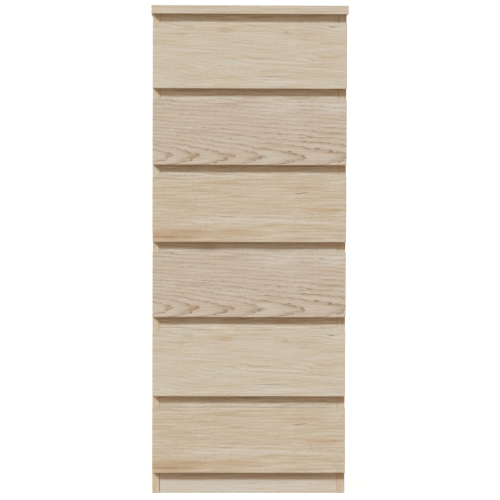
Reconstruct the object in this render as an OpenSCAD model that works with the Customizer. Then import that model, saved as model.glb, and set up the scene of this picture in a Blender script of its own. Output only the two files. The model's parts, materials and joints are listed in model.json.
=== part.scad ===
// Tall narrow chest of six handleless drawers, flat-pack construction.
// Millimetres. Origin on the floor under the centre, +Z up, the drawers open towards -Y.

/* [Carcass] */
// Width over the two side panels and over the drawer fronts
carcass_w = 402; // [350:1:500]
// Depth from the faces of the drawer fronts to the rear edge of the top panel
overall_d = 380; // [320:1:460]
// Thickness of the side panels, rails, plinth, bottom panel and drawer fronts
board_t = 16; // [15:1:19]
// Thickness of the top panel
top_t = 18; // [16:1:25]
// How far the top panel stands out past each side panel
top_overhang = 3; // [0:1:20]
// Thickness of the hardboard back panel
back_t = 3; // [3:0.5:5]
// How far the rear face of the back panel stays in from the rear edge of the top panel
back_setback = 1; // [1:0.5:4]
// How far the back panel stays in from the outer faces of the side panels, and below the top panel
back_margin = 1; // [0.5:0.5:4]
// Height of the back panel's lower edge above the lower edges of the side panels
back_lift = 10; // [5:1:30]
// Height of the plinth board, from its lower edge to the bottom panel
plinth_h = 48; // [45:1:90]
// How far the plinth's face stays behind the front edges of the side panels
plinth_setback = 1; // [0:0.5:20]
// Height of the rail behind the top of the back
rear_rail_h = 60; // [50:1:90]
// Thickness of the plastic pad of each floor glide
glide_t = 2; // [2:0.5:6]

/* [Drawer fronts] */
// Height from one drawer front to the next
drawer_pitch = 160; // [150:1:200]
// Open gap between two neighbouring fronts
front_gap = 24; // [18:1:30]
// Open gap between the highest front and the top panel
top_gap = 17; // [15:1:22]
// Height of the lowest front's lower edge above the floor
base_reveal = 46; // [44:1:50]
// Air between a closed front and the carcass edges behind it
seat_gap = 1; // [0.5:0.5:3]
// How far each front is hung above its even place, from the highest drawer to the lowest
front_offset = [-1, 1, 1, 5, 0, 0];
// Depth of the finger rebate in the back of each front's lower edge
grip_depth = 8; // [6:0.5:9]
// Height of the finger rebate
grip_h = 10; // [8:1:14]
// Length of full-thickness front left at each end of the finger rebate
grip_inset = 50; // [30:1:80]

/* [Rails] */
// How far a rail reaches behind the front above it and the front below it
rail_cover = 8; // [7:1:10]
// How far the top rail reaches down behind the highest front
top_rail_cover = 15; // [13:1:18]

/* [Drawer boxes] */
// Thickness of the sides and back of a drawer box
box_t = 12; // [12:1:14]
// Air between the box side and the side panel
side_play = 3; // [2:0.5:5]
// Air under the lowest box and over the bottom panel
box_clearance = 4; // [3:1:8]
// Air over the highest box and under the top rail
box_headroom = 7; // [4:1:10]
// Distance from the rear of the box to the rear edge of the top panel
rear_space = 34; // [30:1:50]
// Thickness of the hardboard drawer bottom
floor_t = 3; // [3:0.5:4]
// Height of the drawer bottom above the lower edge of the box sides
floor_rise = 10; // [8:1:12]
// Depth of the grooves that hold the drawer bottom
floor_groove = 4.5; // [3:0.5:4.5]
// Air at the edges of the drawer bottom, in the depth of its grooves
floor_play = 0.5; // [0.3:0.1:1]
// Air over and under the drawer bottom in its grooves
floor_air = 0.1; // [0.1:0.05:0.3]
// Length of drawer that stays in the carcass when it is fully open
travel_hold = 66; // [55:1:90]

/* [Runners] */
// Height of a plastic runner strip
strip_h = 16; // [14:1:18]
// Depth of the runner groove in the outer face of a box side
strip_groove = 7; // [6:0.5:7.5]
// Air over the strip, between it and the drawer's groove
strip_air = 0.4; // [0.4:0.1:1]
// Set-back of the strip behind the front edge of the side panel
strip_setback = 10; // [6:1:16]
// Distance from the rear end of the strip to the rear of a closed drawer box
strip_tail = 20; // [10:1:40]
// Air between the strip and the bottom of the drawer's groove
strip_gap = 1; // [0.5:0.5:2]
// How far the drawer's groove runs on past the front end of the strip
groove_lead = 3; // [2:0.5:6]
// Drop of the stop nib under the front end of the strip
nib_drop = 4; // [3:0.5:5]
// Length of the stop nib
nib_len = 8; // [6:1:12]
// How far the nib stays in from the outer face of the box side
nib_inset = 0.5; // [0.3:0.1:1]
// Travel left between the nib and the end of its slot when the drawer is fully open
stop_play = 0.5; // [0.5:0.5:2]
// Distance from the front end of the strip to its first screw
strip_screw_front = 27; // [15:1:40]
// Distance from the rear end of the strip to its last screw
strip_screw_rear = 23; // [15:1:40]

/* [Dowels and cams] */
// Radius of a wooden dowel
dowel_r = 4; // [3:0.5:4]
// Length of the dowel in the side panel, or in the top panel
dowel_in = 10; // [8:1:11]
// Length of the dowel in the board that it carries
dowel_out = 20; // [15:1:25]
// Distance from the lower edge of an upright board to its dowels
dowel_rise = 7; // [6:0.5:10]
// Distance from the front and rear edges of the side panels to the dowels of the top and bottom panels
dowel_inset = 82; // [75:1:100]
// Radius of a cam disc in the carcass
cam_r = 7.5; // [6:0.5:7.5]
// How far a cam disc in the carcass reaches past the middle of its board
cam_past = 4.5; // [3.5:0.5:4.5]
// Distance from a joint of the carcass to the centre of its cam
cam_reach = 34; // [24:1:34]
// Distance from the upper edge of an upright board to its cam bolts
cam_drop = 12; // [11:0.5:14]
// Distance from the front and rear edges of the side panels to the cams of the top and bottom panels
cam_inset = 50; // [40:1:60]
// Radius of the bore that the bolt's neck passes through
bolt_bore_r = 4; // [3.5:0.5:4]
// Radius of a cam disc in a drawer box
small_cam_r = 6; // [5:0.5:6]
// How far a cam disc in a drawer box reaches past the middle of its board
small_cam_past = 3.5; // [3.1:0.1:3.5]
// Distance from the drawer front to the centre of its cam
small_cam_reach = 24; // [20:1:34]
// Radius of the bore for the bolt's neck in a drawer box
small_bore_r = 3.4; // [3.2:0.1:3.6]
// Length of bolt that is screwed into the board at the joint
bolt_grip = 11; // [8:0.5:11]
// Radius of the bolt's thread
bolt_r = 2.5; // [2:0.5:2.5]
// Radius of the bolt's collar and of its head
bolt_shank_r = 2.9; // [2.7:0.1:3]
// Radius of the bolt's neck
bolt_neck_r = 1.9; // [1.5:0.1:2.2]
// Length of the bolt's collar
bolt_collar = 4; // [2:0.5:6]
// Length of the bolt's head
bolt_head = 3; // [2:0.5:4]
// How far the head reaches past the centre of the cam disc
bolt_head_past = 1; // [0:0.5:1.5]
// Air round the bolt in the slot of the cam disc
disc_slot_air = 0.3; // [0.2:0.05:0.4]
// How far that slot runs past the centre of the disc
disc_slot_past = 2; // [1.5:0.5:3]
// Width of the screwdriver cross in a cam disc
cross_w = 1.2; // [1:0.1:1.5]
// Depth of the screwdriver cross
cross_depth = 1.5; // [1:0.1:2]

/* [Screws, nails and glides] */
// Radius of a screw
screw_r = 1.75; // [1.5:0.25:2]
// Radius of a countersunk screw head
screw_head_r = 3.5; // [3:0.25:4]
// Height of the countersunk head
screw_head_h = 2.5; // [2:0.25:3]
// Length of the screws that hold the runner strips
strip_screw_len = 18; // [16:1:22]
// Length of the screws that join the back of a drawer box to its sides
box_screw_len = 32; // [25:1:40]
// Length of the screws that hold the drawer bottom to the back of its box
floor_screw_len = 14; // [12:1:20]
// Radius of the nails in the back panel
nail_r = 0.75; // [0.6:0.05:1]
// Length of a nail
nail_len = 20; // [16:1:25]
// Radius of a nail head
nail_head_r = 2.5; // [2:0.25:3]
// Height of a nail head
nail_head_h = 0.8; // [0.5:0.1:1]
// Number of nails into the rear edge of each side panel
side_nails = 8; // [6:1:10]
// Number of nails into each board across the back
cross_nails = 3; // [2:1:5]
// Distance from the lower edge of the side panel to its lowest nail
nail_low = 60; // [30:1:90]
// Distance from the top panel to the highest nail
nail_high = 40; // [20:1:60]
// Radius of the pad of a floor glide
glide_r = 7; // [6:0.5:8]
// Radius of the glide's spike
spike_r = 1.2; // [1:0.1:1.5]
// Length of the glide's spike
spike_len = 14; // [10:1:18]
// Distance from the front and rear edges of the side panels to the glides
glide_inset = 20; // [12:1:35]
// Radius of the holes for the two wall screws
wall_hole_r = 2.5; // [2:0.5:4]
// Distance between the two wall screws
wall_hole_span = 224; // [160:32:256]

/* [Hidden] */
$fn = 48;
DRAWERS = [1 : 6];
RAILS = [1 : 5];
drawer_count = 6;
fit = 0.05;        // radial air round a dowel, bolt or screw in its own hole
cut = 1;           // how far a cutter runs past the face it opens
deep = 1;          // air at the blind end of a dowel's or a bolt's hole
tip = 0.5;         // air at the blind end of a screw's or a nail's hole
weld = 0.01;       // overlap that makes two lengths of one rod a single solid

front_h = drawer_pitch - front_gap;
rail_h = front_gap + 2 * rail_cover;
top_rail_h = top_gap + top_rail_cover;
inner_w = carcass_w - 2 * board_t;
overall_h = base_reveal + (drawer_count - 1) * drawer_pitch + front_h + top_gap + top_t;
under_top = overall_h - top_t;

face_y = -overall_d / 2;
front_back_y = face_y + board_t;
edge_y = front_back_y + seat_gap;
back_face_y = overall_d / 2 - back_setback;
back_y = back_face_y - back_t;
panel_d = back_y - edge_y;
bottom_z = glide_t + plinth_h;

box_lift = bottom_z + board_t + box_clearance - base_reveal;
box_h = front_h - top_rail_cover - box_lift - box_headroom;
box_w = inner_w - 2 * side_play;
box_len = overall_d - board_t - rear_space;
box_end_y = front_back_y + box_len;
box_back_z = floor_rise + floor_t;
drawer_travel = box_len - travel_hold;

strip_y = edge_y + strip_setback;
strip_len = box_end_y - strip_y - strip_tail;
strip_t = side_play + strip_groove - strip_gap;
groove_h = strip_h + 2 * strip_air;
groove_rise = (box_h - groove_h) / 2;
groove_front_y = strip_y - groove_lead;
lip_y = strip_y + nib_len + drawer_travel + stop_play;

OAK = "#cbbd9f";
BOARD = "#e4e0d6";
HARDBOARD = "#d9d4c8";
PLASTIC = "#efece4";
BEECH = "#d3b283";
ZINC = "#b9bcbe";
STEEL = "#a9adb0";

cam_h = board_t / 2 + cam_past;
small_cam_h = box_t / 2 + small_cam_past;

// Every upright board that butts against both side panels:
// [middle of its thickness, lower edge, height, the side its cams face: 1 rear, -1 front]
function rail_z(n) = base_reveal + (drawer_count - n) * drawer_pitch - front_gap / 2 - rail_h / 2;
TOP_RAIL = [edge_y + board_t / 2, under_top - top_rail_h, top_rail_h, 1];
PLINTH = [edge_y + plinth_setback + board_t / 2, glide_t, plinth_h, 1];
REAR_RAIL = [back_y - board_t / 2, under_top - rear_rail_h, rear_rail_h, -1];
function drawer_rail(n) = [edge_y + board_t / 2, rail_z(n), rail_h, 1];
CROSS_BOARDS = concat([TOP_RAIL, PLINTH, REAR_RAIL], [for (n = RAILS) drawer_rail(n)]);

// Where the top and bottom panels are bolted and dowelled along the depth
CAM_Y = [edge_y + cam_inset, back_y - cam_inset];
DOWEL_Y = [edge_y + dowel_inset, back_y - dowel_inset];

function box_z(n) = base_reveal + (drawer_count - n) * drawer_pitch + box_lift;
function front_z(n) = base_reveal + (drawer_count - n) * drawer_pitch + front_offset[n - 1];
BOX_CAM_Z = [box_h / 4, box_h * 3 / 4];
STRIP_SCREW_Y = [strip_y + strip_screw_front, strip_y + strip_len / 2,
                 strip_y + strip_len - strip_screw_rear];
nail_step = (under_top - nail_high - glide_t - nail_low) / (side_nails - 1);
BACK_NAIL_Z = [for (i = [0 : side_nails - 1]) glide_t + nail_low + i * nail_step];
BACK_NAIL_X = [for (i = [0 : cross_nails - 1]) (i - (cross_nails - 1) / 2) * inner_w / cross_nails];

module board(w, d, h, at) {
    translate([-w / 2, 0, 0] + at) cube([w, d, h]);
}

// ---- places -------------------------------------------------------------------------------

// Puts its children at both inner faces of the carcass, with +X pointing into the cabinet
module at_both_sides(half_w, y, z) {
    for (side = [0, 1])
        mirror([side, 0, 0]) translate([-half_w, y, z]) children();
}

// The cam joints of one cross board, with +Z turned to the side that the cams face
module at_board_cams(b) {
    at_both_sides(inner_w / 2, b[0], b[1] + b[2] - cam_drop) rotate([-90 * b[3], 0, 0]) children();
}

module at_board_dowels(b) {
    at_both_sides(inner_w / 2, b[0], b[1] + dowel_rise) children();
}

// The joints between the bottom panel and the side panels, cams from below
module at_bottom_joints(places) {
    for (y = places)
        at_both_sides(inner_w / 2, y, bottom_z + board_t / 2) rotate([180, 0, 0]) children();
}

// The joints between the top panel and the side panels, +X pointing down into the side panel
module at_top_joints(places) {
    for (y = places)
        at_both_sides((inner_w + board_t) / 2, y, under_top)
            rotate([0, 90, 0]) children();
}

// The joints of one drawer box with its front, +X pointing back into the box side
module at_front_cams(n) {
    for (z = BOX_CAM_Z)
        at_both_sides(box_w / 2 - box_t / 2, front_back_y, box_z(n) + z)
            rotate([0, 0, 90]) rotate([90, 0, 0]) children();
}

// The screws that go through a box side into the end of the box back, +X pointing inwards
module at_back_screws(n) {
    for (z = BOX_CAM_Z)
        at_both_sides(box_w / 2, box_end_y - box_t / 2, box_z(n) + z) children();
}

// The screws that go up through the drawer bottom into the box back
module at_floor_screws(n) {
    for (x = [-box_w / 4, box_w / 4])
        translate([x, box_end_y - box_t / 2, box_z(n) + floor_rise]) rotate([0, -90, 0]) children();
}

// The screws that hold one runner strip to its side panel, +X pointing into the panel
module at_strip_screws(n, side) {
    for (y = STRIP_SCREW_Y)
        mirror([side, 0, 0])
            translate([-inner_w / 2 + strip_t, y, box_z(n) + box_h / 2])
                rotate([0, 0, 180]) children();
}

module at_back_nails() {
    for (z = BACK_NAIL_Z)
        at_both_sides((inner_w + board_t) / 2, back_face_y, z) rotate([0, 0, -90]) children();
    for (x = BACK_NAIL_X, z = [bottom_z + board_t / 2, under_top - rear_rail_h / 2])
        translate([x, back_face_y, z]) rotate([0, 0, -90]) children();
}

module at_glides() {
    for (y = [edge_y + glide_inset, back_y - glide_inset])
        at_both_sides((inner_w + board_t) / 2, y, glide_t) children();
}

// ---- fittings, each along +X from the joint ---------------------------------------------------

module rod(r, x0, x1) {
    translate([x0, 0, 0]) rotate([0, 90, 0]) cylinder(r = r, h = x1 - x0);
}

// Screwed into one board at x < 0, its ball head is held by the cam in the other board
module cam_bolt(reach) {
    head_x = reach + bolt_head_past - bolt_head;
    color(STEEL) {
        rod(bolt_r, -bolt_grip, weld);
        rod(bolt_shank_r, 0, bolt_collar);
        rod(bolt_neck_r, bolt_collar - weld, head_x);
        rod(bolt_shank_r, head_x - weld, head_x + bolt_head);
    }
}

module cam_disc(r, h, reach, half_t) {
    cross_len = r * 1.2;
    color(ZINC) translate([reach, 0, half_t - h]) difference() {
        cylinder(r = r, h = h);
        translate([-r - cut, 0, h - half_t]) rotate([0, 90, 0])
            cylinder(r = bolt_shank_r + disc_slot_air, h = r + cut + disc_slot_past);
        for (turn = [0, 90])
            rotate([0, 0, turn]) translate([-cross_len / 2, -cross_w / 2, h - cross_depth])
                cube([cross_len, cross_w, cross_depth + cut]);
    }
}

module cam_pocket(r, h, reach, half_t, bore_r) {
    rod(bore_r, -cut, reach);
    translate([reach, 0, half_t - h]) cylinder(r = r + fit, h = h + cut);
}

module bolt_hole() {
    rod(bolt_r + fit, -bolt_grip - deep, cut);
}

module dowel() {
    color(BEECH) rod(dowel_r, -dowel_in, dowel_out);
}

module dowel_hole() {
    rod(dowel_r + fit, -dowel_in - deep, dowel_out + deep);
}

// A countersunk screw that enters at x = 0 with its head flush
module screw(len) {
    color(STEEL) {
        rod(screw_r, screw_head_h - weld, len);
        rotate([0, 90, 0]) cylinder(r1 = screw_head_r, r2 = screw_r, h = screw_head_h);
    }
}

module screw_hole(len) {
    rod(screw_r + fit, -cut, len + tip);
    rotate([0, 90, 0]) cylinder(r1 = screw_head_r + fit, r2 = screw_r + fit, h = screw_head_h + fit);
    rod(screw_head_r + fit, -cut, weld);
}

module nail() {
    color(STEEL) {
        rod(nail_r, -weld, nail_len);
        rod(nail_head_r, -nail_head_h, 0);
    }
}

module nail_hole() {
    rod(nail_r + fit, -cut, nail_len + tip);
}

// ---- carcass ----------------------------------------------------------------------------------

module top_panel() {
    color(OAK) difference() {
        board(carcass_w + 2 * top_overhang, overall_d, top_t, [0, face_y, under_top]);
        at_top_joints(CAM_Y) bolt_hole();
        at_top_joints(DOWEL_Y) dowel_hole();
    }
}

module side_panel(side) {
    color(OAK) difference() {
        mirror([side, 0, 0]) translate([-carcass_w / 2, edge_y, glide_t])
            cube([board_t, panel_d, under_top - glide_t]);
        for (b = CROSS_BOARDS) {
            at_board_cams(b) bolt_hole();
            at_board_dowels(b) dowel_hole();
        }
        at_bottom_joints(CAM_Y) bolt_hole();
        at_bottom_joints(DOWEL_Y) dowel_hole();
        at_top_joints(CAM_Y) cam_pocket(cam_r, cam_h, cam_reach, board_t / 2, bolt_bore_r);
        at_top_joints(DOWEL_Y) dowel_hole();
        for (n = DRAWERS) at_strip_screws(n, side) screw_hole(strip_screw_len);
        at_back_nails() nail_hole();
        at_glides() glide_hole();
    }
}

// An upright board between the side panels, with its cams and dowels at both ends
module cross_board(b) {
    difference() {
        board(inner_w, board_t, b[2], [0, b[0] - board_t / 2, b[1]]);
        at_board_cams(b) cam_pocket(cam_r, cam_h, cam_reach, board_t / 2, bolt_bore_r);
        at_board_dowels(b) dowel_hole();
        at_back_nails() nail_hole();
        wall_holes();
    }
}

// The holes for two screws through the rear rail and the back panel into a wall
module wall_holes() {
    for (x = [-wall_hole_span / 2, wall_hole_span / 2])
        translate([x, back_face_y + cut, under_top - rear_rail_h / 2]) rotate([90, 0, 0])
            cylinder(r = wall_hole_r, h = back_t + board_t + 2 * cut);
}

module bottom_panel() {
    color(OAK) difference() {
        board(inner_w, panel_d, board_t, [0, edge_y, bottom_z]);
        at_bottom_joints(CAM_Y) cam_pocket(cam_r, cam_h, cam_reach, board_t / 2, bolt_bore_r);
        at_bottom_joints(DOWEL_Y) dowel_hole();
        at_back_nails() nail_hole();
    }
}

module back_panel() {
    color(HARDBOARD) difference() {
        board(carcass_w - 2 * back_margin, back_t, under_top - back_margin - glide_t - back_lift,
              [0, back_y, glide_t + back_lift]);
        at_back_nails() nail_hole();
        wall_holes();
    }
}

// One plastic strip for each drawer on this side, with a stop nib under its front end
module runner_strips(side) {
    color(PLASTIC) for (n = DRAWERS) difference() {
        mirror([side, 0, 0]) translate([-inner_w / 2, strip_y, box_z(n) + (box_h - strip_h) / 2]) {
            cube([strip_t, strip_len, strip_h]);
            translate([side_play + nib_inset, 0, -nib_drop])
                cube([strip_t - side_play - nib_inset, nib_len, nib_drop + cut]);
        }
        at_strip_screws(n, side) screw_hole(strip_screw_len);
    }
}

module runner_screws() {
    for (n = DRAWERS, side = [0, 1]) at_strip_screws(n, side) screw(strip_screw_len);
}

module carcass_cam_bolts() {
    for (b = CROSS_BOARDS) at_board_cams(b) cam_bolt(cam_reach);
    at_bottom_joints(CAM_Y) cam_bolt(cam_reach);
    at_top_joints(CAM_Y) cam_bolt(cam_reach);
}

module carcass_cam_discs() {
    for (b = CROSS_BOARDS) at_board_cams(b) cam_disc(cam_r, cam_h, cam_reach, board_t / 2);
    at_bottom_joints(CAM_Y) cam_disc(cam_r, cam_h, cam_reach, board_t / 2);
    at_top_joints(CAM_Y) cam_disc(cam_r, cam_h, cam_reach, board_t / 2);
}

module carcass_dowels() {
    for (b = CROSS_BOARDS) at_board_dowels(b) dowel();
    at_bottom_joints(DOWEL_Y) dowel();
    at_top_joints(DOWEL_Y) dowel();
}

module back_nails() {
    at_back_nails() nail();
}

module floor_glides() {
    color(PLASTIC) at_glides() {
        translate([0, 0, -glide_t]) cylinder(r = glide_r, h = glide_t);
        translate([0, 0, -weld]) cylinder(r = spike_r, h = spike_len);
    }
}

module glide_hole() {
    translate([0, 0, -cut]) cylinder(r = spike_r + fit, h = spike_len + cut + tip);
}

// ---- one drawer -------------------------------------------------------------------------------

module drawer_front(n) {
    color(OAK) difference() {
        board(carcass_w, board_t, front_h, [0, face_y, front_z(n)]);
        board(carcass_w - 2 * grip_inset, grip_depth + cut, grip_h + cut,
              [0, front_back_y - grip_depth, front_z(n) - cut]);
        board(box_w - 2 * box_t + 2 * floor_groove, floor_groove + cut, floor_t + 2 * floor_air,
              [0, front_back_y - floor_groove, box_z(n) + floor_rise - floor_air]);
        at_front_cams(n) bolt_hole();
    }
}

module drawer_side(n, side) {
    color(BOARD) difference() {
        mirror([side, 0, 0]) translate([-box_w / 2, front_back_y, box_z(n)]) difference() {
            cube([box_t, box_len, box_h]);
            translate([box_t - floor_groove, -cut, floor_rise - floor_air])
                cube([floor_groove + cut, box_len + 2 * cut, floor_t + 2 * floor_air]);
            translate([-cut, groove_front_y - front_back_y, groove_rise])
                cube([strip_groove + cut, box_len, groove_h]);
            translate([-cut, groove_front_y - front_back_y, groove_rise - nib_drop])
                cube([strip_groove + cut, lip_y - groove_front_y, nib_drop + cut]);
        }
        at_front_cams(n)
            cam_pocket(small_cam_r, small_cam_h, small_cam_reach, box_t / 2, small_bore_r);
        at_back_screws(n) screw_hole(box_screw_len);
    }
}

module drawer_back(n) {
    color(BOARD) difference() {
        board(box_w - 2 * box_t, box_t, box_h - box_back_z,
              [0, box_end_y - box_t, box_z(n) + box_back_z]);
        at_back_screws(n) screw_hole(box_screw_len);
        at_floor_screws(n) screw_hole(floor_screw_len);
    }
}

module drawer_bottom(n) {
    color(HARDBOARD) difference() {
        board(box_w - 2 * (box_t - floor_groove + floor_play), box_len + floor_groove - floor_play, floor_t,
              [0, front_back_y - floor_groove + floor_play, box_z(n) + floor_rise]);
        at_floor_screws(n) screw_hole(floor_screw_len);
    }
}

module drawer_fasteners(n) {
    at_front_cams(n) cam_bolt(small_cam_reach);
    at_front_cams(n) cam_disc(small_cam_r, small_cam_h, small_cam_reach, box_t / 2);
    at_back_screws(n) screw(box_screw_len);
    at_floor_screws(n) screw(floor_screw_len);
}

// ---- nodes ------------------------------------------------------------------------------------

top_panel();
side_panel(0);  // left_side_panel
side_panel(1);  // right_side_panel
color(OAK) cross_board(TOP_RAIL);  // top_rail
for (n = RAILS)
    color(OAK) cross_board(drawer_rail(n));
color(OAK) cross_board(PLINTH);  // plinth
bottom_panel();
color(OAK) cross_board(REAR_RAIL);  // rear_top_rail
back_panel();
runner_strips(0);  // left_runner_strips
runner_strips(1);  // right_runner_strips
runner_screws();
carcass_cam_bolts();
carcass_cam_discs();
carcass_dowels();
back_nails();
floor_glides();
for (n = DRAWERS) {
    drawer_front(n);
    drawer_side(n, 0);
    drawer_side(n, 1);
    drawer_back(n);
    drawer_bottom(n);
    drawer_fasteners(n);
}
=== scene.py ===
# %% [markdown]
# # A tall chest of drawers in pale oak decor
#
# The chest is flat-pack furniture: particle board wrapped in a printed oak decor, six drawers
# without handles, and wide gaps between the fronts for the fingers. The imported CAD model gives
# every board its place. This script gives the boards eased edges, laid grain and a printed
# decor, and lights them like a studio shot.

# %% Loading the frame
import json
import math

import bmesh
import bpy
import numpy as np
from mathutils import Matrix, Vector

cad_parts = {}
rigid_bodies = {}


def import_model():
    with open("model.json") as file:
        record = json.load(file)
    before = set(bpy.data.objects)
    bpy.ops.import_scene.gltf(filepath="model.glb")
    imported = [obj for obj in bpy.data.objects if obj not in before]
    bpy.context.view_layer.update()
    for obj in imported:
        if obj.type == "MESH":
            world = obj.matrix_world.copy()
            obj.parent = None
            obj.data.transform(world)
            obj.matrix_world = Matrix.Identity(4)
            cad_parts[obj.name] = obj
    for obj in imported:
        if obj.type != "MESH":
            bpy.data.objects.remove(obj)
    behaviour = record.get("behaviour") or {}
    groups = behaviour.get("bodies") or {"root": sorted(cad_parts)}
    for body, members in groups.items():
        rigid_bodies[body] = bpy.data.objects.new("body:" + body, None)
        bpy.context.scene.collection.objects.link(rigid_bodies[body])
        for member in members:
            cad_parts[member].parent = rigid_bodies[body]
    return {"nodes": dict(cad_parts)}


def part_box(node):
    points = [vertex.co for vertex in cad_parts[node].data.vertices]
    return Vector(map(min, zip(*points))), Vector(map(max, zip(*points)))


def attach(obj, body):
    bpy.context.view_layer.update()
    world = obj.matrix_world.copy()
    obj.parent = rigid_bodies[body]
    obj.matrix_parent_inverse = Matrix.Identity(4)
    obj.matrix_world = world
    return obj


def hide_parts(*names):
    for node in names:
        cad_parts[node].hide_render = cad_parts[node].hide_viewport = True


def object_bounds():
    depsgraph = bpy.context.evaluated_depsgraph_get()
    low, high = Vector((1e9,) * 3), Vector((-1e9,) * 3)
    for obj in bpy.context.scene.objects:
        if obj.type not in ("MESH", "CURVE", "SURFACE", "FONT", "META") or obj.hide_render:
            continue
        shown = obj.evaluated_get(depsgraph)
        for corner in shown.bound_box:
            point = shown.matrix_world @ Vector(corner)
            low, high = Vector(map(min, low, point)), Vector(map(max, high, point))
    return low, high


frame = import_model()
cad_box = [list(corner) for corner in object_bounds()]
nodes = frame["nodes"]
low, high = (np.array(corner) for corner in cad_box)
print("chest, in millimetres:", np.round((high - low) * 1000, 1))

# %% [markdown]
# ## The camera
#
# A long lens far away keeps the fronts almost square to the picture. The eye is a little above
# the middle of the chest and looks slightly down, so the gaps show more of what is behind them
# towards the top. The camera leans by a fifth of a degree, as one on a tripod often does.

# %% Setting up the camera
MM = 0.001
LENS_MM = 173.75
EYE_DISTANCE = 5.0       # from the faces of the drawer fronts
EYE_HEIGHT = 0.726
EYE_SIDE = -0.120        # a little to the left of the middle
SIGHT = 50.0             # how far the camera sees
AIM = Vector((0.0016, low[1], 0.5109))
LEAN = math.radians(0.20)

eye = Vector((EYE_SIDE, low[1] - EYE_DISTANCE, EYE_HEIGHT))
lens = bpy.data.cameras.new("studio_lens")
lens.lens = LENS_MM
lens.clip_end = SIGHT
camera = bpy.data.objects.new("studio_camera", lens)
camera.location = eye
camera.rotation_euler = (AIM - eye).to_track_quat("-Z", "Y").to_euler()
camera.rotation_euler.rotate_axis("Z", LEAN)
bpy.context.scene.collection.objects.link(camera)
bpy.context.scene.camera = camera
looks_down = math.degrees(math.asin((eye - AIM).normalized().z))
print("the eye looks down by", round(looks_down, 2), "degrees")

# %% [markdown]
# ## Shader maths that reads like arithmetic
#
# A finish is a small network of nodes. Writing it as expressions keeps the formula visible:
# a Wire stands for one socket, and adding or multiplying wires adds the Math nodes.

# %% A network of shader nodes
class Network:
    """A node tree that is filled by expressions."""

    def __init__(self, tree):
        self.tree = tree
        tree.nodes.clear()

    def node(self, kind, settings, sockets, out=0):
        """Adds a node: its settings first, then a value or a Wire for each named socket."""
        made = self.tree.nodes.new(kind)
        for setting, value in settings.items():
            setattr(made, setting, value)
        for place, value in sockets.items():
            if isinstance(value, Wire):
                self.tree.links.new(value.socket, made.inputs[place])
            else:
                made.inputs[place].default_value = value
        return Wire(self, made.outputs[out]) if made.outputs else made

    def cloud(self, place, along, across, detail=2.0, rough=0.5):
        """Soft noise from 0 to 1, with so many changes a metre along the grain and across it."""
        spread = self.node("ShaderNodeVectorMath", {"operation": "MULTIPLY"},
                           {0: place, 1: (along, across, across)})
        return self.node("ShaderNodeTexNoise", {"noise_dimensions": "3D"},
                         {"Vector": spread, "Scale": 1.0, "Detail": detail, "Roughness": rough})

    def blend(self, amount, first, second):
        """The first colour where the amount is 0, the second where it is 1."""
        return self.node("ShaderNodeMix", {"data_type": "RGBA"},
                         {0: amount, 6: first, 7: second}, out=2)


# %% [markdown]
# A Wire knows its socket and the network it belongs to. So `wire * 2 + other` makes two Math
# nodes and gives the wire that leaves the second one.

# %% One socket that adds and multiplies
class Wire:
    """One output socket. Arithmetic with numbers or other wires adds Math nodes."""

    def __init__(self, network, socket):
        self.network, self.socket = network, socket

    def maths(self, operation, first, second=0.0):
        return self.network.node("ShaderNodeMath", {"operation": operation}, {0: first, 1: second})

    def __add__(self, other):
        return self.maths("ADD", self, other)

    def __sub__(self, other):
        return self.maths("SUBTRACT", self, other)

    def __rsub__(self, other):
        return self.maths("SUBTRACT", other, self)

    def __mul__(self, other):
        return self.maths("MULTIPLY", self, other)

    def __truediv__(self, other):
        return self.maths("DIVIDE", self, other)

    def __rtruediv__(self, other):
        return self.maths("DIVIDE", other, self)

    def __pow__(self, other):
        return self.maths("POWER", self, other)

    __radd__, __rmul__ = __add__, __mul__

    def root(self):
        return self.maths("SQRT", self)

    def part(self):
        """What is left of the number after its whole part is taken away."""
        return self.maths("FRACT", self)

    def step(self, start, end):
        """0 below start, 1 above end, a smooth S curve in between."""
        return self.network.node("ShaderNodeMapRange", {"interpolation_type": "SMOOTHSTEP"},
                                 {"Value": self, "From Min": start, "From Max": end})


# %% [markdown]
# Colours are easiest to compare as a swatch names them, from 0 to 255. Shaders reckon in
# amounts of light, so each colour goes through the sRGB curve once, here.

# %% Colours and empty materials
def tone(red, green, blue):
    """Linear light from a swatch: s / 12.92 for a dark share s, else ((s + 0.055) / 1.055)^2.4."""
    share = np.array([red, green, blue]) / 255
    linear = np.where(share <= 0.04045, share / 12.92, ((share + 0.055) / 1.055) ** 2.4)
    return (*linear, 1.0)


def new_finish(name):
    """An empty material with its network."""
    material = bpy.data.materials.new(name)
    material.use_nodes = True
    return material, Network(material.node_tree)


print("a middle grey swatch is", round(tone(128, 128, 128)[0], 3), "of full light")

# %% [markdown]
# ## Light and floor
#
# The key light is high on the left and in front. It is far enough away to act like a small
# sun: its angle sets how soft the shadow under each front is. A wide sun from the same side
# stands for the diffuser round the lamp, and lets the shadow fade out slowly. The room fills
# the rest: warm on the camera's side, as bounced light is, most of it from near the horizon,
# and brighter and neutral behind.

# %% Lighting the studio
KEY_TRAVEL = Vector((0.98, 1.0, -0.96))   # the way the key light travels
KEY_COLOUR = (0.856, 1.0, 1.160)
LAMPS = {"key_light": (2.82, 8.0), "key_diffuser": (0.74, 60.0)}   # strength, angle in degrees
LOW_FILL = (0.490, 0.350, 0.245, 1.0)
HIGH_FILL = (0.310, 0.250, 0.200, 1.0)
FAR_FILL = (0.84, 0.80, 0.75, 1.0)
RISE = (0.10, 0.75)                       # upwards: where the high fill takes over
TURN_BACK = (-0.1, 0.5)                   # backwards: where the far fill takes over
SEEN = (1.05, 1.05, 1.05, 1.0)            # what the lens sees of the room, just overexposed

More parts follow.
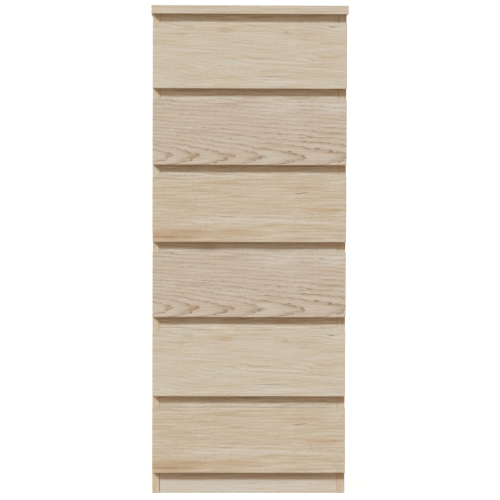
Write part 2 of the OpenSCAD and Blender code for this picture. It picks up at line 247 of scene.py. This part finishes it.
for lamp_name, (strength, angle) in LAMPS.items():
    lamp = bpy.data.lights.new(lamp_name, "SUN")
    lamp.energy = strength
    lamp.color = KEY_COLOUR
    lamp.angle = math.radians(angle)
    stand = bpy.data.objects.new(lamp_name, lamp)
    stand.rotation_euler = KEY_TRAVEL.to_track_quat("-Z", "Y").to_euler()
    bpy.context.scene.collection.objects.link(stand)

world = bpy.data.worlds.new("white_room")
world.use_nodes = True
room = Network(world.node_tree)
heading = room.node("ShaderNodeTexCoord", {}, {})
backwards = room.node("ShaderNodeSeparateXYZ", {}, {0: heading}, out=1)
upwards = room.node("ShaderNodeSeparateXYZ", {}, {0: heading}, out=2)
near_fill = room.blend(upwards.step(*RISE), LOW_FILL, HIGH_FILL)
fill = room.blend(backwards.step(*TURN_BACK), near_fill, FAR_FILL)
seen_by_lens = room.node("ShaderNodeLightPath", {}, {})
shown = room.node("ShaderNodeBackground", {}, {"Color": room.blend(seen_by_lens, fill, SEEN)})
room.node("ShaderNodeOutputWorld", {}, {"Surface": shown})
bpy.context.scene.world = world
bpy.context.scene.view_settings.view_transform = "Standard"
key_height = math.degrees(math.asin(-KEY_TRAVEL.normalized().z))
print("the key light stands", round(key_height, 1), "degrees above the floor")

# %% [markdown]
# The floor is a sheet of white paper. It glows a little, so that it is as white as the room,
# and it lights nothing else: the fills above already hold the light that a floor throws back.

# %% Laying the floor
FLOOR_SIZE = 30.0
PAPER_FIBRES = 400.0      # a metre
PAPER_RELIEF = 0.1 * MM
PAPER_GREY = (0.5, 0.5, 0.5, 1.0)
PAPER_WHITE = (1.0, 1.0, 1.0, 1.0)
PAPER_GLOW = 0.8

reach = FLOOR_SIZE / 2
paper, sheet = new_finish("white_paper")
fine = sheet.cloud(sheet.node("ShaderNodeTexCoord", {}, {}, out="Object"), PAPER_FIBRES, PAPER_FIBRES)
paper_bump = sheet.node("ShaderNodeBump", {},
                        {"Height": fine, "Strength": 0.1, "Distance": PAPER_RELIEF})
paper_shader = sheet.node("ShaderNodeBsdfPrincipled", {},
                          {"Base Color": PAPER_GREY, "Roughness": 0.9, "Normal": paper_bump,
                           "Emission Color": PAPER_WHITE, "Emission Strength": PAPER_GLOW})
sheet.node("ShaderNodeOutputMaterial", {}, {"Surface": paper_shader})
floor_mesh = bpy.data.meshes.new("studio_floor")
floor_corners = [(-reach, -reach, 0), (reach, -reach, 0), (reach, reach, 0), (-reach, reach, 0)]
floor_mesh.from_pydata(floor_corners, [], [(0, 1, 2, 3)])
floor_mesh.materials.append(paper)
floor = bpy.data.objects.new("studio_floor", floor_mesh)
floor.visible_diffuse = False
floor.visible_glossy = False
bpy.context.scene.collection.objects.link(floor)
print("the floor sheet is", FLOOR_SIZE, "metres wide")

# %% [markdown]
# ## The oak decor
#
# Flat-sawn oak shows its growth rings as arches, and quarter-sawn oak shows them as straight
# lines. One formula draws both: it counts rings outwards from the heart of the tree, and adds
# a little for every metre along the board, because a trunk tapers. Near the heart the rings
# close in tips, and far from it they run straight. The whole number of the count changes at
# each ring, so what is left over, 0 to 1, is the place inside one year's growth: pale early in
# the year and a thin brown line at its end.

# %% Counting growth rings
WANDER = 5 * MM           # how far the sway moves a line across the board


def ring_count(u, v, sway, decor):
    """root((v - heart)^2 + hollow^2) / ring + rate u (1 - bow u) + phase, where the rate that
    the taper adds fades from near, at the heart, to far. Also gives the nearness, 1 at the heart."""
    off = v - decor["heart"] + sway * WANDER
    nearness = 1 / ((off / decor["spread"]) ** 2 + 1.0)
    rate = decor["far"] + (decor["near"] - decor["far"]) * nearness
    taper = rate * u * (1 - decor["bow"] * u)
    count = (off ** 2 + decor["hollow"] ** 2).root() / decor["ring"] + taper
    return count + decor["phase"] + sway * decor["sway"], nearness


# %% [markdown]
# Knots and stains lie on top of the rings, and so do the plinth's streaks of painted shade. Each is
# an ellipse, and (u / length)^2 + (v / height)^2 is 1 on its rim. The fibres fray the rim and show
# through the middle.

# %% Knots, stains and painted shade
FRAY = 12 * MM            # how far the fibres push a rim along the grain


def blotched(net, colour, u, v, fibre, blotches):
    """Lays the ellipses on a colour. Each has its middle, half its size, its amount and its tone."""
    frayed_u = u + (fibre - 0.5) * FRAY
    split = fibre.step(0.40, 0.58) * 0.7 + 0.3
    for at_u, at_v, length, height, amount, blotch_tone in blotches:
        away = ((frayed_u - at_u) / length) ** 2 + ((v - at_v) / height) ** 2
        mask = (1 - away.step(0.0, 1.0)) * split * amount
        colour = net.blend(mask, colour, blotch_tone)
    return colour


# %% [markdown]
# Between the rings the printed wood has finer things: fibres that run along the board, pores
# drawn out into dashes, and a mottle where the figure catches the light. Each is noise,
# stretched along the grain by its own amount. Pores also lower the surface a little, because
# the foil is embossed to match its print.

# %% Printing the oak
GRAIN_MAP = "grain"
EARTH = tone(128, 98, 68)
AMBER = tone(190, 158, 118)
OLIVE = tone(180, 166, 124)
CHALK = tone(216, 211, 198)
EMBOSSING = 0.2 * MM
FOIL_SHINE = 0.3


def oak(name, decor, blotches=()):
    """One printing of the decor, in metres on the grain map: u along the grain, v across."""
    material, net = new_finish(name)
    place = net.node("ShaderNodeUVMap", {"uv_map": GRAIN_MAP}, {})
    u = net.node("ShaderNodeSeparateXYZ", {}, {0: place}, out=0)
    v = net.node("ShaderNodeSeparateXYZ", {}, {0: place}, out=1)
    sway = net.cloud(place, along=5.0, across=16.0) - 0.5
    ripple = net.cloud(place, along=44.0, across=120.0, detail=6.0, rough=0.62) - 0.5
    fibre = net.cloud(place, along=13.0, across=330.0, detail=5.0, rough=0.68)
    patchy = net.cloud(place, along=10.0, across=60.0, detail=3.0)

    count, nearness = ring_count(u, v, sway, decor)
    count = count + ripple * decor["ripple"]
    year = count.part()
    between = (count * 2.63 + sway * 4.0).part()
    dashes = net.cloud(place, along=90.0, across=420.0, detail=3.0).step(0.36, 0.58)
    strength = patchy.step(0.34, 0.64) * 0.70 + 0.30 + nearness * decor["knotty"]
    line = year ** 5 * strength * (dashes * 0.7 + 0.3)
    hair = between ** 4 * patchy.step(0.40, 0.66) * 0.35
    dots = net.cloud(place, along=150.0, across=800.0).step(0.54, 0.68)
    pores = dots * (year ** 2 * 0.7 + 0.3)

    mottle = net.cloud(place, along=9.0, across=110.0, detail=5.0, rough=0.6).step(0.34, 0.66)
    honey = net.cloud(place, along=8.0, across=125.0, detail=5.0, rough=0.6).step(0.44, 0.72)
    bloom = net.cloud(place, along=6.0, across=42.0, detail=3.0).step(0.42, 0.72)
    streak = (0.60 - fibre).step(0.0, 0.26)
    colour = net.blend(mottle, decor["cool"], decor["warm"])
    colour = net.blend(bloom * decor["bloom"], colour, CHALK)
    colour = net.blend(honey * decor["honey"], colour, decor["brown"])
    colour = net.blend(streak * decor["streak"], colour, decor["brown"])
    colour = blotched(net, colour, u, v, fibre, blotches)
    colour = net.blend((line + hair) * decor["line"], colour, decor["late"])
    colour = net.blend(pores * decor["pores"], colour, EARTH)

    relief = (fibre - 0.5) * 0.3 - pores * 0.6 - line * 0.2
    bump = net.node("ShaderNodeBump", {},
                    {"Height": relief, "Strength": 0.3, "Distance": EMBOSSING})
    roughness = 0.50 + (fibre - 0.5) * 0.12 + pores * 0.1
    shader = net.node("ShaderNodeBsdfPrincipled", {},
                      {"Base Color": colour, "Roughness": roughness, "Normal": bump,
                       "Specular IOR Level": FOIL_SHINE})
    net.node("ShaderNodeOutputMaterial", {}, {"Surface": shader})
    return material


# %% [markdown]
# Three cuts of wood give all the printings. STRAIGHT lies far from the heart, CALM has long
# slanting lines, and ARCHES has the heart inside the board. The sides, the rails and the plinth
# are the calm cut, with tones of their own.

# %% Three cuts of wood
STRAIGHT = dict(
    heart=-0.70, hollow=0.10, spread=0.04, ring=0.0075, near=1.0, far=1.0, bow=0.0,
    phase=0.4, sway=2.6, ripple=0.5, knotty=0.0,
    bloom=0.45, pores=0.42, honey=0.45, streak=0.50, line=0.44,
    warm=tone(212, 197, 173), cool=tone(206, 195, 172),
    brown=tone(178, 154, 114), late=tone(156, 126, 90))
CALM = dict(
    STRAIGHT, heart=-0.50, ring=0.0070, near=13.0, far=13.0, bow=0.3,
    phase=0.2, sway=5.0,
    pores=0.30, honey=0.42, streak=0.34, line=0.50,
    warm=tone(211, 198, 176), cool=tone(206, 199, 181),
    brown=tone(186, 166, 126), late=tone(166, 138, 100))
ARCHES = dict(
    STRAIGHT, heart=-0.050, hollow=0.020, ring=0.0083, near=14.0, far=6.5, bow=0.9,
    phase=1.16, sway=1.4, ripple=0.95, knotty=0.95,
    bloom=0.22, pores=0.38, honey=0.36, streak=0.44, line=0.62,
    warm=tone(209, 194, 174), cool=tone(203, 193, 175),
    brown=tone(176, 154, 122), late=tone(144, 114, 80))
PANEL = dict(
    CALM, ring=0.0095, near=9.0, far=9.0, sway=6.0,
    warm=tone(213, 195, 167), cool=tone(207, 192, 166))
RAIL = dict(
    CALM, near=2.0, far=2.0,
    bloom=0.20, honey=0.50, streak=0.60, line=0.65,
    warm=tone(222, 210, 189), cool=tone(219, 210, 193),
    brown=tone(174, 150, 112), late=tone(150, 120, 84))
PLINTH = dict(
    CALM, near=3.0, far=3.0,
    honey=0.25, streak=0.20, line=0.30,
    warm=tone(213, 202, 183), cool=tone(208, 202, 187))
print("rings are from", CALM["ring"] / MM, "to", PANEL["ring"] / MM, "millimetres apart")

# %% [markdown]
# Each row below is a knot or a stain, except on the plinth, whose rows are dark streaks of painted
# shade along its top, where the lowest front's shadow falls. A row gives where its middle is along
# and across the board, half its length and half its height, how strong it is, and its tone.

# %% Six printings
oak_calm = oak("oak_calm", CALM, [
    (-0.050, 0.052, 0.024, 0.0065, 0.80, AMBER),
    (-0.126, 0.058, 0.016, 0.0080, 0.50, OLIVE),
    (-0.142, 0.043, 0.012, 0.0060, 0.40, OLIVE),
    (0.012, 0.060, 0.014, 0.0050, 0.45, OLIVE),
    (0.075, 0.048, 0.011, 0.0060, 0.60, OLIVE),
    (0.115, 0.034, 0.014, 0.0050, 0.40, AMBER),
    (0.172, 0.060, 0.011, 0.0016, 0.80, EARTH),
    (0.045, -0.043, 0.050, 0.0016, 0.60, EARTH),
    (0.000, -0.056, 0.210, 0.0070, 0.50, CHALK),
])
oak_arches = oak("oak_arches", ARCHES, [
    (0.108, -0.012, 0.011, 0.0022, 0.85, EARTH),
    (0.055, -0.024, 0.030, 0.0060, 0.40, OLIVE),
    (0.038, -0.022, 0.010, 0.0022, 0.60, EARTH),
    (-0.105, -0.002, 0.055, 0.0016, 0.60, EARTH),
    (0.120, 0.052, 0.150, 0.0200, 0.55, CHALK),
    (-0.118, -0.050, 0.013, 0.0080, 0.55, AMBER),
    (-0.054, -0.048, 0.013, 0.0070, 0.50, AMBER),
    (-0.168, -0.048, 0.011, 0.0070, 0.45, AMBER),
])
oak_streaks = oak("oak_streaks", STRAIGHT, [
    (-0.160, -0.053, 0.100, 0.0170, 0.85, AMBER),
    (-0.020, -0.047, 0.080, 0.0090, 0.50, AMBER),
    (0.150, -0.001, 0.060, 0.0070, 0.50, AMBER),
    (-0.150, 0.012, 0.055, 0.0120, 0.40, OLIVE),
    (0.020, -0.024, 0.250, 0.0080, 0.60, CHALK),
    (0.103, 0.0333, 0.013, 0.0011, 0.95, EARTH),
    (0.117, 0.0352, 0.010, 0.0010, 0.80, EARTH),
    (-0.165, -0.058, 0.070, 0.0040, 0.45, EARTH),
    (-0.120, -0.047, 0.060, 0.0030, 0.40, EARTH),
    (-0.095, 0.037, 0.055, 0.0018, 0.35, EARTH),
    (-0.045, -0.015, 0.020, 0.0018, 0.50, EARTH),
])
oak_panel = oak("oak_panel", PANEL)
oak_rail = oak("oak_rail", RAIL)
# The plinth's streaks lie only along its top, in the band that the lowest front shades: painted shade,
# drawn as dark grain.
oak_plinth = oak("oak_plinth", PLINTH, [
    (-0.060, 0.0170, 0.120, 0.0018, 0.50, EARTH),
    (0.090, 0.0130, 0.110, 0.0016, 0.50, EARTH),
    (-0.110, 0.0120, 0.070, 0.0016, 0.45, EARTH),
    (0.020, 0.0105, 0.080, 0.0013, 0.40, EARTH),
    (0.150, 0.0185, 0.060, 0.0016, 0.50, EARTH),
])
printings = [oak_calm, oak_arches, oak_streaks, oak_panel, oak_rail, oak_plinth]
print("printings of the oak decor:", ", ".join(printing.name for printing in printings))

# %% [markdown]
# ## The other finishes
#
# Inside, such a chest is off-white foil, lacquered hardboard, natural white plastic and zinc.
# None of them is one flat colour: foil has a faint orange-peel, hardboard has fibres, and
# metal has a cloudy surface from its plating bath.

# %% Plain finishes
FINE_RELIEF = 0.05 * MM
PLAIN_SHINE = 0.4


def plain(name, main, second, grain, roughness, metallic=0.0):
    """A colour that drifts between two tones, with fine relief. grain is changes a metre."""
    material, net = new_finish(name)
    place = net.node("ShaderNodeTexCoord", {}, {}, out="Object")
    drift = net.cloud(place, grain * 0.2, grain * 0.2, detail=3.0)
    fine = net.cloud(place, grain * 4, grain * 4)
    colour = net.blend(drift.step(0.3, 0.7), main, second)
    bump = net.node("ShaderNodeBump", {},
                    {"Height": fine, "Strength": 0.4, "Distance": FINE_RELIEF})
    shader = net.node("ShaderNodeBsdfPrincipled", {},
                      {"Base Color": colour, "Roughness": roughness + (fine - 0.5) * 0.1,
                       "Metallic": metallic, "Normal": bump, "Specular IOR Level": PLAIN_SHINE})
    net.node("ShaderNodeOutputMaterial", {}, {"Surface": shader})
    return material


white_foil = plain("white_foil", tone(226, 221, 212), tone(223, 217, 207), 300.0, 0.42)
hardboard = plain("hardboard", tone(223, 216, 203), tone(219, 212, 198), 500.0, 0.55)
white_plastic = plain("white_plastic", tone(236, 234, 228), tone(231, 228, 221), 60.0, 0.38)
zinc = plain("cam_zinc", tone(176, 178, 180), tone(160, 163, 167), 500.0, 0.42, 1.0)
steel = plain("plated_steel", tone(196, 196, 194), tone(178, 179, 180), 400.0, 0.3, 1.0)
beech = plain("beech", tone(212, 180, 138), tone(198, 164, 122), 300.0, 0.6)
plain_finishes = [white_foil, hardboard, white_plastic, zinc, steel, beech]
print("plain finishes:", ", ".join(finish.name for finish in plain_finishes))

# %% [markdown]
# ## Boards with eased edges
#
# No real board has a razor edge: the foil is folded, or the edge band is scraped, to a radius
# of about a millimetre, and that radius is what catches the light. A board could be a cube with
# a Bevel modifier, but grooves and rebates would need cutting out of it. Here it is an outline
# carried along its length instead: the outline's corners are quarter circles, it draws in at
# both ends so that the end edges are round too, and a rebate is an outline that changes on the
# way.

# %% An outline with round corners
EASE = 1.0 * MM
QUARTER = np.linspace(0, math.pi / 2, 5)
X, Y, Z = 0, 1, 2


def ring_points(corners, radii, draw):
    """Rings of an anticlockwise right-angled outline, one for each station along the path.
    At a corner, back points to the corner before and on to the next one. The arc is
    centre - r (on cos t + back sin t), and its centre is corner + r (back + on)."""
    fullest = corners[len(corners) // 2]
    back = np.roll(fullest, 1, 0) - fullest
    on = np.roll(fullest, -1, 0) - fullest
    back = back / np.linalg.norm(back, axis=1, keepdims=True)
    on = on / np.linalg.norm(on, axis=1, keepdims=True)
    bulge = np.sign(back[:, 1] * on[:, 0] - back[:, 0] * on[:, 1])
    drawn = corners + draw[:, None, None] * (bulge[:, None] * (back + on))[None]
    radius = np.maximum(radii - draw[:, None], 0)[:, :, None]
    centre = drawn + radius * (back + on)
    cos_t, sin_t = np.cos(QUARTER)[:, None], np.sin(QUARTER)[:, None]
    turn = on[None, :, None] * cos_t + back[None, :, None] * sin_t
    points = centre[:, :, None] - radius[:, :, None] * turn
    return points.reshape(len(corners), -1, 2)


def eased_ends(start, end, radius):
    """Places along the path, and how far the outline draws in there: r (1 - sin t) at r (1 - cos t)."""
    run = radius * (1 - np.cos(QUARTER))
    draw = radius * (1 - np.sin(QUARTER))
    return np.concatenate([start + run, end - run[::-1]]), np.concatenate([draw, draw[::-1]])


print("edges are eased to a radius of", EASE / MM, "millimetres, in", len(QUARTER) - 1, "steps")

# %% [markdown]
# The rings become a mesh: a four-sided face between each pair of neighbours, and one flat face
# on each end. Where a groove is shut, corners of the outline fall together, so doubled points
# are welded and faces without an area are dissolved.

# %% A skin over the rings
WELD = 1e-6               # metres


def skin(name, places, rings, along, body, replaced, finish):
    """Faces between neighbouring rings, and a flat cap on each end."""
    stations, points = rings.shape[:2]
    spots = np.zeros((stations, points, 3))
    across = [axis for axis in (X, Y, Z) if axis != along]
    spots[:, :, along] = places[:, None]
    spots[:, :, across] = rings
    ring, place = np.meshgrid(np.arange(stations - 1), np.arange(points), indexing="ij")
    here, beside = ring * points + place, ring * points + (place + 1) % points
    cells = np.stack([here, beside, beside + points, here + points], -1).reshape(-1, 4)
    caps = [list(range(points))[::-1], list(range((stations - 1) * points, stations * points))]
    mesh = bpy.data.meshes.new(name)
    mesh.from_pydata(spots.reshape(-1, 3), [], cells.tolist() + caps)
    clean = bmesh.new()
    clean.from_mesh(mesh)
    bmesh.ops.remove_doubles(clean, verts=clean.verts, dist=WELD)
    bmesh.ops.dissolve_degenerate(clean, edges=clean.edges, dist=WELD)
    bmesh.ops.recalc_face_normals(clean, faces=clean.faces)
    clean.to_mesh(mesh)
    clean.free()
    mesh.materials.append(finish)
    piece = bpy.data.objects.new(name, mesh)
    bpy.context.scene.collection.objects.link(piece)
    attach(piece, body)
    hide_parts(*replaced)
    return piece


# %% [markdown]
# ## Laying the grain
#
# The decor is printed on paper, and the paper is laid with its grain along the board. So the
# pattern needs a map in metres whose first direction runs along the grain, on each face by
# itself. On an end face the edge band is a separate strip, and its grain runs along the strip.

# %% Mapping the faces
FLAT = 0.9999                 # a face whose normal is nearer an axis than this is not smoothed
EDGE_SHIFT = (0.371, 0.533)   # metres, so that a strip does not repeat the face beside it


def face_values(mesh, name, width, kind=float):
    """One row of values for each face, or one value when the width is 1."""
    values = np.empty(len(mesh.polygons) * width, kind)
    mesh.polygons.foreach_get(name, values)
    return values.reshape(-1, width) if width > 1 else values


def lay_grain(piece, grain, shift=(0.0, 0.0)):
    """Maps each face in metres from the middle of the board: u along the grain, v across it.
    The broad faces take the shift as it is, and the edges a further one of their own."""
    mesh = piece.data
    spots = np.array([vertex.co for vertex in mesh.vertices])
    spots -= (spots.min(0) + spots.max(0)) / 2
    sizes = np.ptp(spots, axis=0)
    normals = face_values(mesh, "normal", 3)
    mesh.polygons.foreach_set("use_smooth", np.abs(normals).max(1) < FLAT)
    facing = np.repeat(np.abs(normals).argmax(1), face_values(mesh, "loop_total", 1, int))
    end_band = max((axis for axis in (X, Y, Z) if axis != grain), key=lambda axis: sizes[axis])
    u_axis = np.where(facing == grain, end_band, grain)
    v_axis = 3 - facing - u_axis
    corners = np.empty(len(mesh.loops), int)
    mesh.loops.foreach_get("vertex_index", corners)
    rows = np.arange(len(corners))
    strip = (facing != sizes.argmin()) * (1 + facing)
    u = spots[corners][rows, u_axis] + shift[0] + EDGE_SHIFT[0] * strip
    v = spots[corners][rows, v_axis] + shift[1] + EDGE_SHIFT[1] * strip
    layer = mesh.uv_layers.new(name=GRAIN_MAP)
    layer.data.foreach_set("uv", np.stack([u, v], 1).ravel())


# %% [markdown]
# ## Plain boards
#
# Most boards are plain: they take the place of their CAD node, and only their edges change.
# Cams and dowels sit flush in some faces. Such a face is shaved by a tenth of a millimetre, so
# that the fittings stand just proud of it and do not flicker through it.

# %% One plain board
SHAVING = 0.1 * MM


def board(node, body, finish, along, shift=(0.0, 0.0), shave=(0, 0, 0), radius=EASE):
    """A board with eased edges in the place of its node. shave is the direction of the face
    that is shaved, or zeros."""
    lowest, highest = (np.array(corner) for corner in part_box(node))
    shaving = np.array(shave) * SHAVING
    lowest, highest = lowest - np.minimum(shaving, 0), highest - np.maximum(shaving, 0)
    places, draw = eased_ends(lowest[along], highest[along], radius)
    a, b = [axis for axis in (X, Y, Z) if axis != along]
    outline = np.array([(lowest[a], lowest[b]), (highest[a], lowest[b]),
                        (highest[a], highest[b]), (lowest[a], highest[b])])
    corners = np.repeat(outline[None], len(places), 0)
    rings = ring_points(corners, np.full(corners.shape[:2], radius), draw)
    piece = skin(node + "_board", places, rings, along, body, [node], finish)
    lay_grain(piece, along, shift)


# %% [markdown]
# The carcass is a top, two sides, a bottom, a plinth, and a rail above each drawer. Every
# board takes its own part of the decor, as boards cut from one long sheet do.

# %% The carcass
CARCASS = {   # printing, way of the grain, shift of the decor, face that is shaved
    "top_panel": (oak_calm, X, (0.90, 0.31), (0, 0, 0)),
    "left_side_panel": (oak_panel, Z, (0.2, 0.6), (1, 0, 0)),
    "right_side_panel": (oak_panel, Z, (3.1, 0.9), (-1, 0, 0)),
    "bottom_panel": (oak_rail, X, (4.2, 0.4), (0, 0, -1)),
    "plinth": (oak_plinth, X, (0.0, 0.0), (0, 1, 0)),
}
RAILS = ["top_rail"] + [f"drawer_rail_{number}" for number in range(1, 6)]
RAIL_START = 0.4          # metres along the decor
RAIL_STEP = (1.7, 0.23)   # from one rail to the next

for number, name in enumerate(RAILS):
    rail_shift = (RAIL_STEP[0] * number + RAIL_START, RAIL_STEP[1] * number)
    CARCASS[name] = (oak_rail, X, rail_shift, (0, 1, 0))
for name, (finish, along, shift, shave) in CARCASS.items():
    board(name, "carcass", finish, along, shift, shave)
print("carcass boards:", len(CARCASS))

# %% [markdown]
# ## The drawer fronts
#
# A front has no handle. Its lower edge has a finger rebate in the back, milled by a round
# cutter that stops short of both ends, so the rebate runs out in a curve. The outline grows
# the rebate as it travels: its depth and height follow a quarter circle at each end.

# %% Drawer fronts
GRIP_DEPTH = 8 * MM
GRIP_HEIGHT = 10 * MM
GRIP_INSET = 50 * MM
CUTTER = 8 * MM
GRIP_TURN = np.linspace(0, math.pi / 2, 7)
DECORS = {1: oak_calm, 2: oak_arches, 3: oak_streaks, 4: oak_arches, 5: oak_calm, 6: oak_streaks}


def drawer_front(number):
    """The outline in y and z is a rectangle with a notch in its lower rear corner. The notch is
    sin t of its full size where it is r (1 - cos t) past its start."""
    node = f"drawer_{number}_front"
    lowest, highest = (np.array(corner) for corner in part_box(node))
    grip_run = lowest[X] + GRIP_INSET + CUTTER * (1 - np.cos(GRIP_TURN))
    grip_share = np.sin(GRIP_TURN)
    ends, draw = eased_ends(lowest[X], highest[X], EASE)
    middle = len(QUARTER)
    places = np.concatenate([ends[:middle], grip_run, -grip_run[::-1], ends[middle:]])
    none = np.zeros(middle)
    share = np.concatenate([none, grip_share, grip_share[::-1], none])
    draw = np.concatenate([draw[:middle], np.zeros(2 * len(GRIP_TURN)), draw[middle:]])
    depth, height = GRIP_DEPTH * share, EASE + (GRIP_HEIGHT - EASE) * share
    front, rear, under, over = lowest[Y], highest[Y], lowest[Z], highest[Z]
    corners = np.empty((len(places), 6, 2))
    corners[:, 0] = front, under
    corners[:, 1] = np.stack([rear - depth, np.full(len(places), under)], 1)
    corners[:, 2] = np.stack([rear - depth, under + height], 1)
    corners[:, 3] = np.stack([np.full(len(places), rear), under + height], 1)
    corners[:, 4] = rear, over
    corners[:, 5] = front, over
    radii = np.full((len(places), 6), EASE)
    radii[:, 2] = np.minimum(EASE, depth / 2)
    radii[:, 3] = np.minimum(EASE / 2, depth / 2)
    rings = ring_points(corners, radii, draw)
    piece = skin(node + "_board", places, rings, X, f"drawer_{number}", [node],
                 DECORS[number])
    lay_grain(piece, X)


for number in DECORS:
    drawer_front(number)
print("drawer fronts:", len(DECORS))

# %% [markdown]
# ## The drawer boxes
#
# Under the fronts are plain foil-wrapped boxes of thinner board. Each side has two grooves: a
# narrow one inside that holds the bottom, and a wide one outside that runs on the plastic
# strip. The wide one was milled from the back and ends short of the front, where the cutter
# left round corners. Its front part is deeper downwards, so that a nib on the strip can pass
# along it and stop the drawer before it falls out. All this is again one outline carried
# along, with two rings in the same place wherever a groove starts or steps.

# %% Drawer sides
THIN_EASE = 0.6 * MM
FLOOR_SLOT = (4.5 * MM, 9.9 * MM, 13.1 * MM)       # depth, lower edge, upper edge
RUNNER_SLOT = (7.0 * MM, 36.6 * MM, 53.4 * MM)
NIB_DROP = 4.0 * MM
SLOT_START = -166.0 * MM
NIB_STOP = 109.5 * MM
MILL = 3.0 * MM
GROOVE_EASE = THIN_EASE / 3                        # on the lips of the floor groove
LIP_EASE = THIN_EASE / 2                           # on the lips of the runner groove


def drawer_side(number, name, outwards):
    """The outline in x and z has both grooves. The runner groove opens by r (1 - sin t) on each
    edge at r (1 - cos t) from its start, which leaves the cutter's round corners."""
    node = f"drawer_{number}_{name}"
    lowest, highest = (np.array(corner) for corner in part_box(node))
    ends, draw = eased_ends(lowest[Y], highest[Y], THIN_EASE)
    middle = len(QUARTER)
    start = SLOT_START + MILL * (1 - np.cos(QUARTER))
    # stations: the front end, a shut groove, the cutter's curve, both sides of the step, the rear end
    between = [start[:1], start, [NIB_STOP, NIB_STOP]]
    places = np.concatenate([ends[:middle], *between, ends[middle:]])
    draw = np.concatenate([draw[:middle], np.zeros(middle + 3), draw[middle:]])
    open_slot = places > SLOT_START - MM
    open_slot[middle] = False
    narrow = MILL * (1 - np.sin(QUARTER))
    narrow = np.concatenate([np.full(middle + 1, MILL), narrow, np.zeros(middle + 2)])
    nib = np.concatenate([np.ones(2 * middle + 2), np.zeros(middle + 1)]) * NIB_DROP

    left, right = lowest[X] + SHAVING, highest[X] - SHAVING
    outer, inner = (left, right) if outwards < 0 else (right, left)
    foot, head = lowest[Z], highest[Z]
    groove_x = inner + outwards * FLOOR_SLOT[0]
    groove_low, groove_high = foot + FLOOR_SLOT[1], foot + FLOOR_SLOT[2]
    slot_x = outer + RUNNER_SLOT[0] * open_slot * -outwards
    slot_low = foot + RUNNER_SLOT[1] - nib + narrow
    slot_high = foot + RUNNER_SLOT[2] - narrow
    outline = [(outer, foot), (inner, foot),
               (inner, groove_low), (groove_x, groove_low),
               (groove_x, groove_high), (inner, groove_high),
               (inner, head), (outer, head),
               (outer, slot_high), (slot_x, slot_high),
               (slot_x, slot_low), (outer, slot_low)]
    whole = np.ones(len(places))
    corners = np.stack([np.stack([x * whole, z * whole], 1) for x, z in outline], 1)
    radii = np.zeros(corners.shape[:2])
    radii[:, [0, 1, 6, 7]] = THIN_EASE
    radii[:, [2, 5]] = GROOVE_EASE
    radii[open_slot, 8] = LIP_EASE
    radii[open_slot, 11] = LIP_EASE
    if outwards > 0:
        corners, radii = corners[:, ::-1], radii[:, ::-1]
    rings = ring_points(corners, radii, draw)
    skin(node + "_board", places, rings, Y, f"drawer_{number}", [node], white_foil)


for number in DECORS:
    drawer_side(number, "left_side", -1)
    drawer_side(number, "right_side", 1)
    board(f"drawer_{number}_back", f"drawer_{number}", white_foil, X, radius=THIN_EASE)
made = [piece for piece in bpy.data.objects if piece.name.endswith("_board")]
print("boards made:", len(made), "with", sum(len(piece.data.polygons) for piece in made), "faces")

# %% [markdown]
# ## Fittings and thin panels
#
# The rest keeps the shape it has in the CAD model, which is already true to the real thing:
# hardboard sheets, turned and pressed fittings, moulded strips. Each only needs its finish.

# %% Dressing the CAD pieces
FITTINGS = {
    "rear_top_rail": white_foil,
    "back_panel": hardboard,
    "left_runner_strips": white_plastic,
    "right_runner_strips": white_plastic,
    "runner_screws": steel,
    "carcass_cam_bolts": steel,
    "carcass_cam_discs": zinc,
    "carcass_dowels": beech,
    "back_nails": steel,
    "floor_glides": white_plastic,
}
for number in DECORS:
    FITTINGS[f"drawer_{number}_bottom"] = hardboard
    FITTINGS[f"drawer_{number}_fasteners"] = zinc
for name, finish in FITTINGS.items():
    nodes[name].data.materials.clear()
    nodes[name].data.materials.append(finish)
print("CAD pieces with a finish:", len(FITTINGS))
